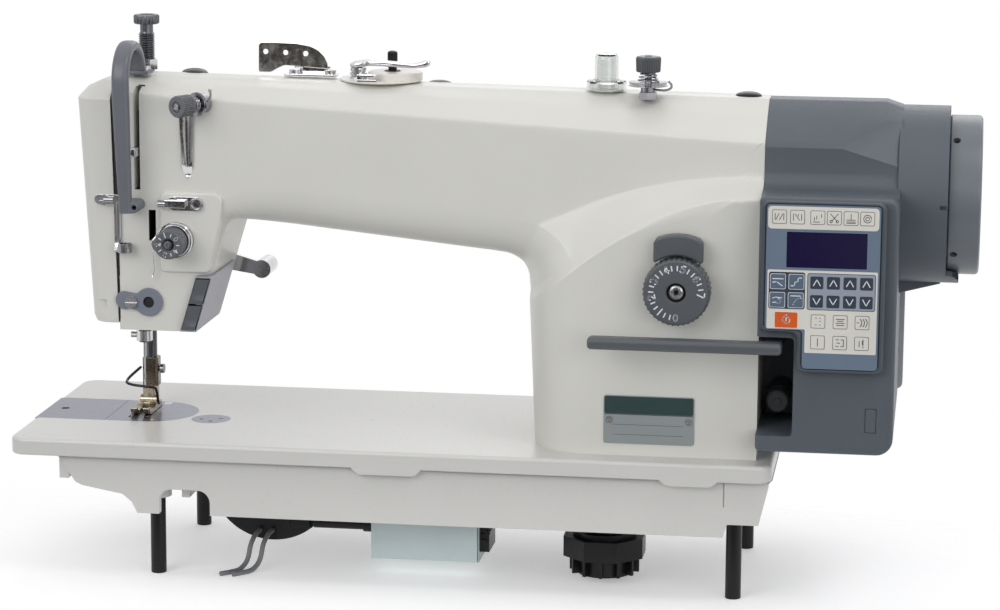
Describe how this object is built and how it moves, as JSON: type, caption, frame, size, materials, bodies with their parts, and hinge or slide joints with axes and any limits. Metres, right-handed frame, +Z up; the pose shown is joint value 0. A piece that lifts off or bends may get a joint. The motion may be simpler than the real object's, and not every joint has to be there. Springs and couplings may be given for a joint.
{
  "type": "lockstitch sewing machine",
  "caption": "High-speed flat-bed lockstitch sewing machine head with direct-drive motor box, standing on bed legs; stitches fabric fed under the arm",
  "frame": {"origin": "middle of the footprint on the floor under the bed legs", "axes": "+X along the bed from the needle end to the handwheel, +Y from the operator to the back, +Z up"},
  "size_m": [0.596, 0.192, 0.346],
  "materials": {
    "enamel_ivory": "fine textured satin enamel",
    "enamel_bed": "smooth satin enamel",
    "slate_plastic": "fine grained moulded plastic",
    "guard_plastic": "satin moulded plastic",
    "dial_plastic": "satin moulded plastic",
    "black_plastic": "glossy moulded plastic",
    "clear_plastic": "clear moulded plastic",
    "lilac_plastic": "satin moulded plastic",
    "ground_steel": "surface ground",
    "bright_steel": "polished nickel plate",
    "machined_steel": "turned",
    "bronze": "sintered bush",
    "black_steel": "black oxide",
    "zinc_steel": "zinc plated sheet",
    "belt_rubber": "moulded rubber",
    "membrane": "printed polyester film",
    "lead_sheath": "soft vinyl",
    "plate_paint": "anodised plate"
  },
  "bodies": {
    "machine": {"bed_casting": "enamel_bed", "needle_plate": "ground_steel", "bed_cover": "ground_steel", "fasteners": "bright_steel", "legs": "black_steel", "arm_casting": "enamel_ivory", "face_plate": "enamel_ivory", "oval_plugs": "black_plastic", "take_up_guard": "guard_plastic", "bar_bushes": "bronze", "presser_spring": "bright_steel", "pretension_base": "bright_steel", "left_thread_hook": "bright_steel", "thread_guide": "bright_steel", "tension_post": "bright_steel", "eyelet_plate": "lilac_plastic", "switch_box": "lilac_plastic", "hole_bracket": "bright_steel", "winder_base": "enamel_ivory", "oil_sight": "clear_plastic", "top_post": "bright_steel", "nameplate": "plate_paint", "motor_housing": "slate_plastic", "rear_cover": "lilac_plastic", "panel_frame": "slate_plastic", "panel_overlay": "membrane", "shaft_bushes": "bronze", "timing_belt": "belt_rubber", "hook_basket": "bright_steel", "oil_pump": "black_steel", "solenoids": "zinc_steel", "lead_pair": "lead_sheath"},
    "slide_plate": {"slide_plate": "ground_steel"},
    "take_up": {"take_up_lever": "bright_steel"},
    "needle_drive": {"needle_bar": "bright_steel", "needle_clamp": "bright_steel", "needle": "bright_steel"},
    "presser": {"presser_bar": "bright_steel", "presser_foot": "bright_steel", "finger_guard": "black_steel"},
    "pressure_screw": {"pressure_screw": "bright_steel"},
    "lifter": {"lifter_lever": "bright_steel"},
    "pretension_knob": {"pretension_knob": "bright_steel"},
    "tension_knob": {"tension_knob": "black_plastic"},
    "check_spring": {"check_spring": "bright_steel"},
    "upper_button": {"upper_button": "lilac_plastic"},
    "lower_button": {"lower_button": "lilac_plastic"},
    "winder_spindle": {"winder_spindle": "black_plastic"},
    "winder_lever": {"winder_lever": "black_plastic"},
    "crank_link": {"crank_link": "machined_steel"},
    "top_knob": {"top_knob": "bright_steel"},
    "stitch_dial": {"stitch_dial": "dial_plastic"},
    "dial_lock": {"dial_lock": "dial_plastic"},
    "reverse_lever": {"reverse_lever": "dial_plastic"},
    "drive": {"handwheel": "dial_plastic", "main_shaft": "machined_steel", "front_crank": "machined_steel"},
    "hook": {"hook_shaft": "machined_steel"},
    "feed": {"feed_bar": "machined_steel"},
    "feed_rock": {"feed_rock_shaft": "machined_steel"}
  },
  "joints": [
    {"name": "drive_turn", "type": "hinge", "parent": "machine", "child": "drive", "pos_m": [0.279, 0.006, 0.2464], "axis": [1, 0, 0], "continuous": true},
    {"name": "hook_turn", "type": "hinge", "parent": "machine", "child": "hook", "pos_m": [-0.198, 0.006, 0.067], "axis": [1, 0, 0], "continuous": true},
    {"name": "crank_link_swing", "type": "hinge", "parent": "drive", "child": "crank_link", "pos_m": [-0.219, 0.006, 0.26165], "axis": [1, 0, 0], "continuous": true},
    {"name": "needle_bar_slide", "type": "slide", "parent": "machine", "child": "needle_drive", "axis": [0, 0, 1], "range_m": [-0.0305, 0]},
    {"name": "take_up_swing", "type": "hinge", "parent": "machine", "child": "take_up", "pos_m": [-0.225, 0.0142, 0.263], "axis": [-1, 0, 0], "range_deg": [-18, 26]},
    {"name": "presser_lift", "type": "slide", "parent": "machine", "child": "presser", "axis": [0, 0, 1], "range_m": [0, 0.009], "stiffness_N_per_m": 1500, "springref_m": -0.004, "deforming": ["presser_spring"]},
    {"name": "pressure_screw_turn", "type": "hinge", "parent": "machine", "child": "pressure_screw", "pos_m": [-0.2327, 0.023, 0.33], "axis": [0, 0, 1], "range_deg": [-170, 170]},
    {"name": "lifter_swing", "type": "hinge", "parent": "machine", "child": "lifter", "pos_m": [-0.218, 0.052, 0.19], "axis": [0, -1, 0], "range_deg": [0, 30]},
    {"name": "pretension_turn", "type": "hinge", "parent": "machine", "child": "pretension_knob", "pos_m": [-0.182, -0.036, 0.297], "axis": [-0.4478, -0.8942, 0], "range_deg": [-170, 170]},
    {"name": "tension_turn", "type": "hinge", "parent": "machine", "child": "tension_knob", "pos_m": [-0.1994, -0.053, 0.211], "axis": [0, -1, 0], "range_deg": [-170, 170]},
    {"name": "check_spring_swing", "type": "hinge", "parent": "machine", "child": "check_spring", "pos_m": [-0.1994, -0.0393, 0.211], "axis": [0, 1, 0], "range_deg": [-25, 0], "stiffness_Nm_per_rad": 0.01},
    {"name": "upper_button_press", "type": "slide", "parent": "machine", "child": "upper_button", "axis": [0, 1, 0], "range_m": [0, 0.0015], "stiffness_N_per_m": 400},
    {"name": "lower_button_press", "type": "slide", "parent": "machine", "child": "lower_button", "axis": [0, 1, 0], "range_m": [0, 0.0015], "stiffness_N_per_m": 400},
    {"name": "winder_spindle_turn", "type": "hinge", "parent": "machine", "child": "winder_spindle", "pos_m": [-0.071, 0.013, 0.32], "axis": [0, 0, 1], "continuous": true},
    {"name": "winder_lever_swing", "type": "hinge", "parent": "machine", "child": "winder_lever", "pos_m": [-0.092, 0.008, 0.318], "axis": [0, 0, -1], "range_deg": [0, 20]},
    {"name": "top_knob_turn", "type": "hinge", "parent": "machine", "child": "top_knob", "pos_m": [0.0935, -0.014, 0.325], "axis": [0, 0, 1], "range_deg": [-170, 170]},
    {"name": "stitch_dial_turn", "type": "hinge", "parent": "machine", "child": "stitch_dial", "pos_m": [0.1187, -0.077, 0.1953], "axis": [0, -1, 0], "range_deg": [-160, 90]},
    {"name": "dial_lock_press", "type": "slide", "parent": "machine", "child": "dial_lock", "axis": [0, 1, 0], "range_m": [0, 0.002], "stiffness_N_per_m": 500},
    {"name": "reverse_lever_press", "type": "hinge", "parent": "machine", "child": "reverse_lever", "pos_m": [0.177, -0.022, 0.162], "axis": [1, 0, 0], "range_deg": [0, 17], "stiffness_Nm_per_rad": 1.2, "springref_deg": -6.88},
    {"name": "slide_plate_pull", "type": "slide", "parent": "machine", "child": "slide_plate", "axis": [-1, 0, 0], "range_m": [0, 0.045]},
    {"name": "feed_slide", "type": "slide", "parent": "machine", "child": "feed", "axis": [0, -1, 0], "range_m": [-0.0025, 0.0025]},
    {"name": "feed_rock_swing", "type": "hinge", "parent": "machine", "child": "feed_rock", "pos_m": [-0.198, 0.046, 0.058], "axis": [1, 0, 0], "range_deg": [-9, 9]}
  ],
  "couplings": [
    {"joint": "hook_turn", "follows": "drive_turn", "ratio": 2},
    {"joint": "crank_link_swing", "follows": "drive_turn", "ratio": -1},
    {"joint": "feed_rock_swing", "follows": "feed_slide", "rad_per_m": 62.5}
  ]
}
